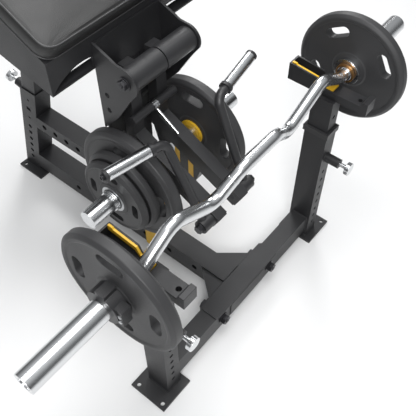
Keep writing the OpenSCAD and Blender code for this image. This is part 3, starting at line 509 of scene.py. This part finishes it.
# Ring marks: two fine bands turned proud on the shaft, where the hands take hold.
# They stand square to the bar's slope between its first and second bends.
MARK_AT = (88, -17.05, 631.6)
MARK_SLOPE = (78, 17, -62)
MARK_PROFILE = ((0.0154, -0.002), (0.0160, -0.0012), (0.0160, 0.0012), (0.0154, 0.002))
(x, y, z), (run, back, fall) = MARK_AT, MARK_SLOPE
bm = bmesh.new()
for s in (-1, 1):
    down = Vector((s * run, back, fall)).normalized()
    turned(bm, MARK_PROFILE, facing(at(s * x, y, z), down), 48)
finished(bm, "shaft_ring_marks", CHROME, "curl_bar")

# Bush flanges: the metal rims that the sleeves turn on, each showing between the shaft's shoulder
# and the sleeve's collar.
# Their orange-brown colour is a painted reflection of the warm glow under the machine, not a
# bronze metal.
WARM_REFLECTION_METAL = grained_material("painted_warm_reflection", (0.30, 0.15, 0.055), (0.45, 0.25, 0.10), (0.3, 0.45),
                          600, 0.1, patch=14.0, metal=1.0)
BUSH_X = 400.1
BUSH_PROFILE = ((0.0205, 0), (0.0205, 0.0042), (0.0240, 0.0048), (0.0262, 0.0040), (0.0262, 0))
for s, body in ((-1, "left_sleeve_body"), (1, "right_sleeve_body")):
    bm = bmesh.new()
    turned(bm, BUSH_PROFILE, facing_x(at(s * BUSH_X, BAR_Y, BAR_Z), -s))
    finished(bm, body + "_bush", WARM_REFLECTION_METAL, body)

# Hub rings: zinced steel rings moulded into the middle of the outer plates, round their bores.
# They stand a millimetre proud, with a small outer chamfer.
STEEL = grained_material("zinced_steel", (0.42, 0.43, 0.44), (0.56, 0.57, 0.58), (0.26, 0.4),
                         700, 0.08, patch=12.0, metal=1.0)
RING_PROUD = 0.0010
RING_CHAMFER = 0.0012


def hub_ring(name, point, way, inner, outer, body):
    bm = bmesh.new()
    turned(bm, [(inner, 0), (inner, RING_PROUD), (outer - RING_CHAMFER, RING_PROUD), (outer, 0)],
           facing_x(point, way))
    finished(bm, name, STEEL, body)


hub_ring("right_bar_plate_ring", at(447, BAR_Y, BAR_Z), 1, 0.0256, 0.0345, "right_sleeve_body")
hub_ring("left_small_plate_ring", at(-196, HORN_Y, HORN_Z), -1, 0.0304, 0.0370, "left_arm")
hub_ring("right_big_plate_ring", at(144, HORN_Y, HORN_Z), 1, 0.0256, 0.0345, "right_arm")

# Bolts and axles: machined steel, black oxide with a little oil sheen.
# They clamp the beams and carry the levers and handles.
for node in ("beam_bolts", "hub_axle", "left_pivot_pin", "right_pivot_pin"):
    rounded(node, OXIDE, PLATE_EDGE)

# Weight plates: steel discs moulded over with black urethane, slightly mottled.
# Their rims and finger slots have the soft edges of the mould.
URETHANE = grained_material("black_urethane", (0.020, 0.020, 0.021), (0.044, 0.044, 0.046),
                            (0.46, 0.6), 1500, 0.3)
MOULDED_EDGE = 0.0022
for node in ("left_plate_big", "left_plate_mid", "left_plate_small", "right_plate_big",
             "left_bar_plate", "right_bar_plate"):
    rounded(node, URETHANE, MOULDED_EDGE)

# Guides and lock collar: moulded black nylon. The guides go round the uprights' mouths, held by
# corner screws, and the collar is clamped on the bar's sleeve by its latch lever.
NYLON = grained_material("black_nylon", (0.018, 0.018, 0.019), (0.034, 0.034, 0.036),
                         (0.38, 0.5), 900, 0.25)
for node in ("left_guide_cap", "right_guide_cap", "left_lock"):
    rounded(node, NYLON, PLATE_EDGE)

# Pin heads: the two small zinced steel pins that the lock collar's latch lever turns on.
# Their riveted heads show on the outer face of the latch.
LATCH_X, LATCH_Y = -475.1, -50.5
LATCH_PINS_Z = (596.5, 614.5)
PIN_HEAD_PROFILE = ((0.0, 0), (0.0, 0.0022), (0.0042, 0.0022), (0.0052, 0.0010), (0.0052, 0))
bm = bmesh.new()
for z in LATCH_PINS_Z:
    turned(bm, PIN_HEAD_PROFILE, facing_x(at(LATCH_X, LATCH_Y, z), -1), 24)
finished(bm, "lock_pins", STEEL, "left_sleeve_body")

# Yellow parts: moulded liners in the bar cradles, stop rings on the horns, gussets on the
# floor beam and plain stripes on the lever brackets.
YELLOW = grained_material("yellow_plastic", (0.62, 0.36, 0.016), (0.76, 0.46, 0.03),
                          (0.36, 0.5), 800, 0.2)
LINER_EDGE = 0.0006
for node in ("left_liner", "right_liner", "base_fins", "left_stripes", "right_stripes",
             "left_stop_ring", "right_stop_ring"):
    rounded(node, YELLOW, LINER_EDGE)

# End plugs: black moulded plugs pressed into the square ends of the forward arms.
# Their faces lie square to the arms' slope, with soft edges.
PLUG_AT = (44.5, 47.9, 390.3)
PLUG_SLOPE = radians(116)
PLUG_SIZE = (0.031, 0.046, 0.005)
PLUG_EDGE = 0.0018
x, y, z = PLUG_AT
for s, body in ((-1, "left_arm"), (1, "right_arm")):
    place = Matrix.Rotation(PLUG_SLOPE, 4, "X")
    place.translation = at(s * x, y, z)
    bm = bmesh.new()
    bmesh.ops.create_cube(bm, size=1, matrix=place @ Matrix.Diagonal((*PLUG_SIZE, 1)))
    bmesh.ops.bevel(bm, geom=bm.edges[:], offset=PLUG_EDGE, segments=3, profile=0.5,
                    affect="EDGES", material=-1)
    finished(bm, body + "_plug", NYLON, body)

# Lever stops: a plate on the mast with a black rubber stop behind each hanging lever.
# The levers rest against the rubber when they are let down.
RUBBER = grained_material("black_rubber", (0.012, 0.012, 0.012), (0.024, 0.024, 0.024),
                          (0.62, 0.75), 900, 0.3)
rounded("lever_stops", RUBBER, PLATE_EDGE)

# Arm pad: foam under embossed black vinyl, wrapped over a board.
# Its subdivided shell stays on the CAD piece's own rings.
VINYL = grained_material("embossed_vinyl", (0.008, 0.008, 0.008), (0.022, 0.022, 0.022),
                         (0.42, 0.56), 420, 0.5)
VINYL_CELLS = 520
nodes, links = VINYL.node_tree.nodes, VINYL.node_tree.links
vinyl_cells = nodes.new("ShaderNodeTexVoronoi")
vinyl_cells.inputs["Scale"].default_value = VINYL_CELLS
vinyl_place = nodes.new("ShaderNodeTexCoord")
links.new(vinyl_place.outputs["Object"], vinyl_cells.inputs["Vector"])
links.new(vinyl_cells.outputs["Distance"], relief_of(VINYL).inputs["Height"])
pad = rounded("arm_pad", VINYL, 0)
foam = pad.modifiers.new("foam", "SUBSURF")
foam.levels = 1
foam.render_levels = 1

# Piping: a vinyl cord sewn round the top of the pad, and a second at the foot of its border.
# Both follow the pad's outline, which pulls in a little along its sides.
CORD = grained_material("piping_vinyl", (0.030, 0.030, 0.031), (0.060, 0.060, 0.062),
                        (0.34, 0.46), 420, 0.2)
CORD_SIDES = 8
CORNER_STEPS = 16
SIDE_STEPS = 24
PAD_SLOPE = radians(26.5)
PAD_CORNER_R = 0.046
PAD_SIDE_PULL = 0.0025
PAD_MIDDLE = 0.195
PAD_CORNER_X, PAD_CORNER_Y = 0.194, 0.149
PAD_CORNERS = ((1, 1), (-1, 1), (-1, -1), (1, -1))
pad_up = Matrix.Rotation(PAD_SLOPE, 4, "X")
pad_up.translation = at(0, 351, 835.01)


def pad_cord(bm, inset, height, radius):
    """A cord round the pad, its line some way in from the outline and up from the board."""
    def on_outline(corner, angle, pull):
        sx, sy = corner
        reach = PAD_CORNER_R - inset - pull
        return pad_up @ Vector((sx * PAD_CORNER_X + reach * cos(angle),
                                PAD_MIDDLE + sy * PAD_CORNER_Y + reach * sin(angle), height))

    run = []
    for quarter, corner in enumerate(PAD_CORNERS):
        for k in range(CORNER_STEPS + 1):
            angle = pi / 2 * (quarter + k / CORNER_STEPS)
            run.append(on_outline(corner, angle, PAD_SIDE_PULL * cos(2 * angle) ** 2))
        start = run[-1]
        end = on_outline(PAD_CORNERS[(quarter + 1) % 4], angle, PAD_SIDE_PULL)
        run += [start.lerp(end, i / SIDE_STEPS) for i in range(1, SIDE_STEPS)]
    swept(bm, run, radius, CORD_SIDES, closed=True)


bm = bmesh.new()
pad_cord(bm, 0.0062, 0.0430, 0.0019)
pad_cord(bm, 0.0012, 0.0072, 0.0016)
finished(bm, "pad_piping", CORD, "frame", BEAD_SHARP)
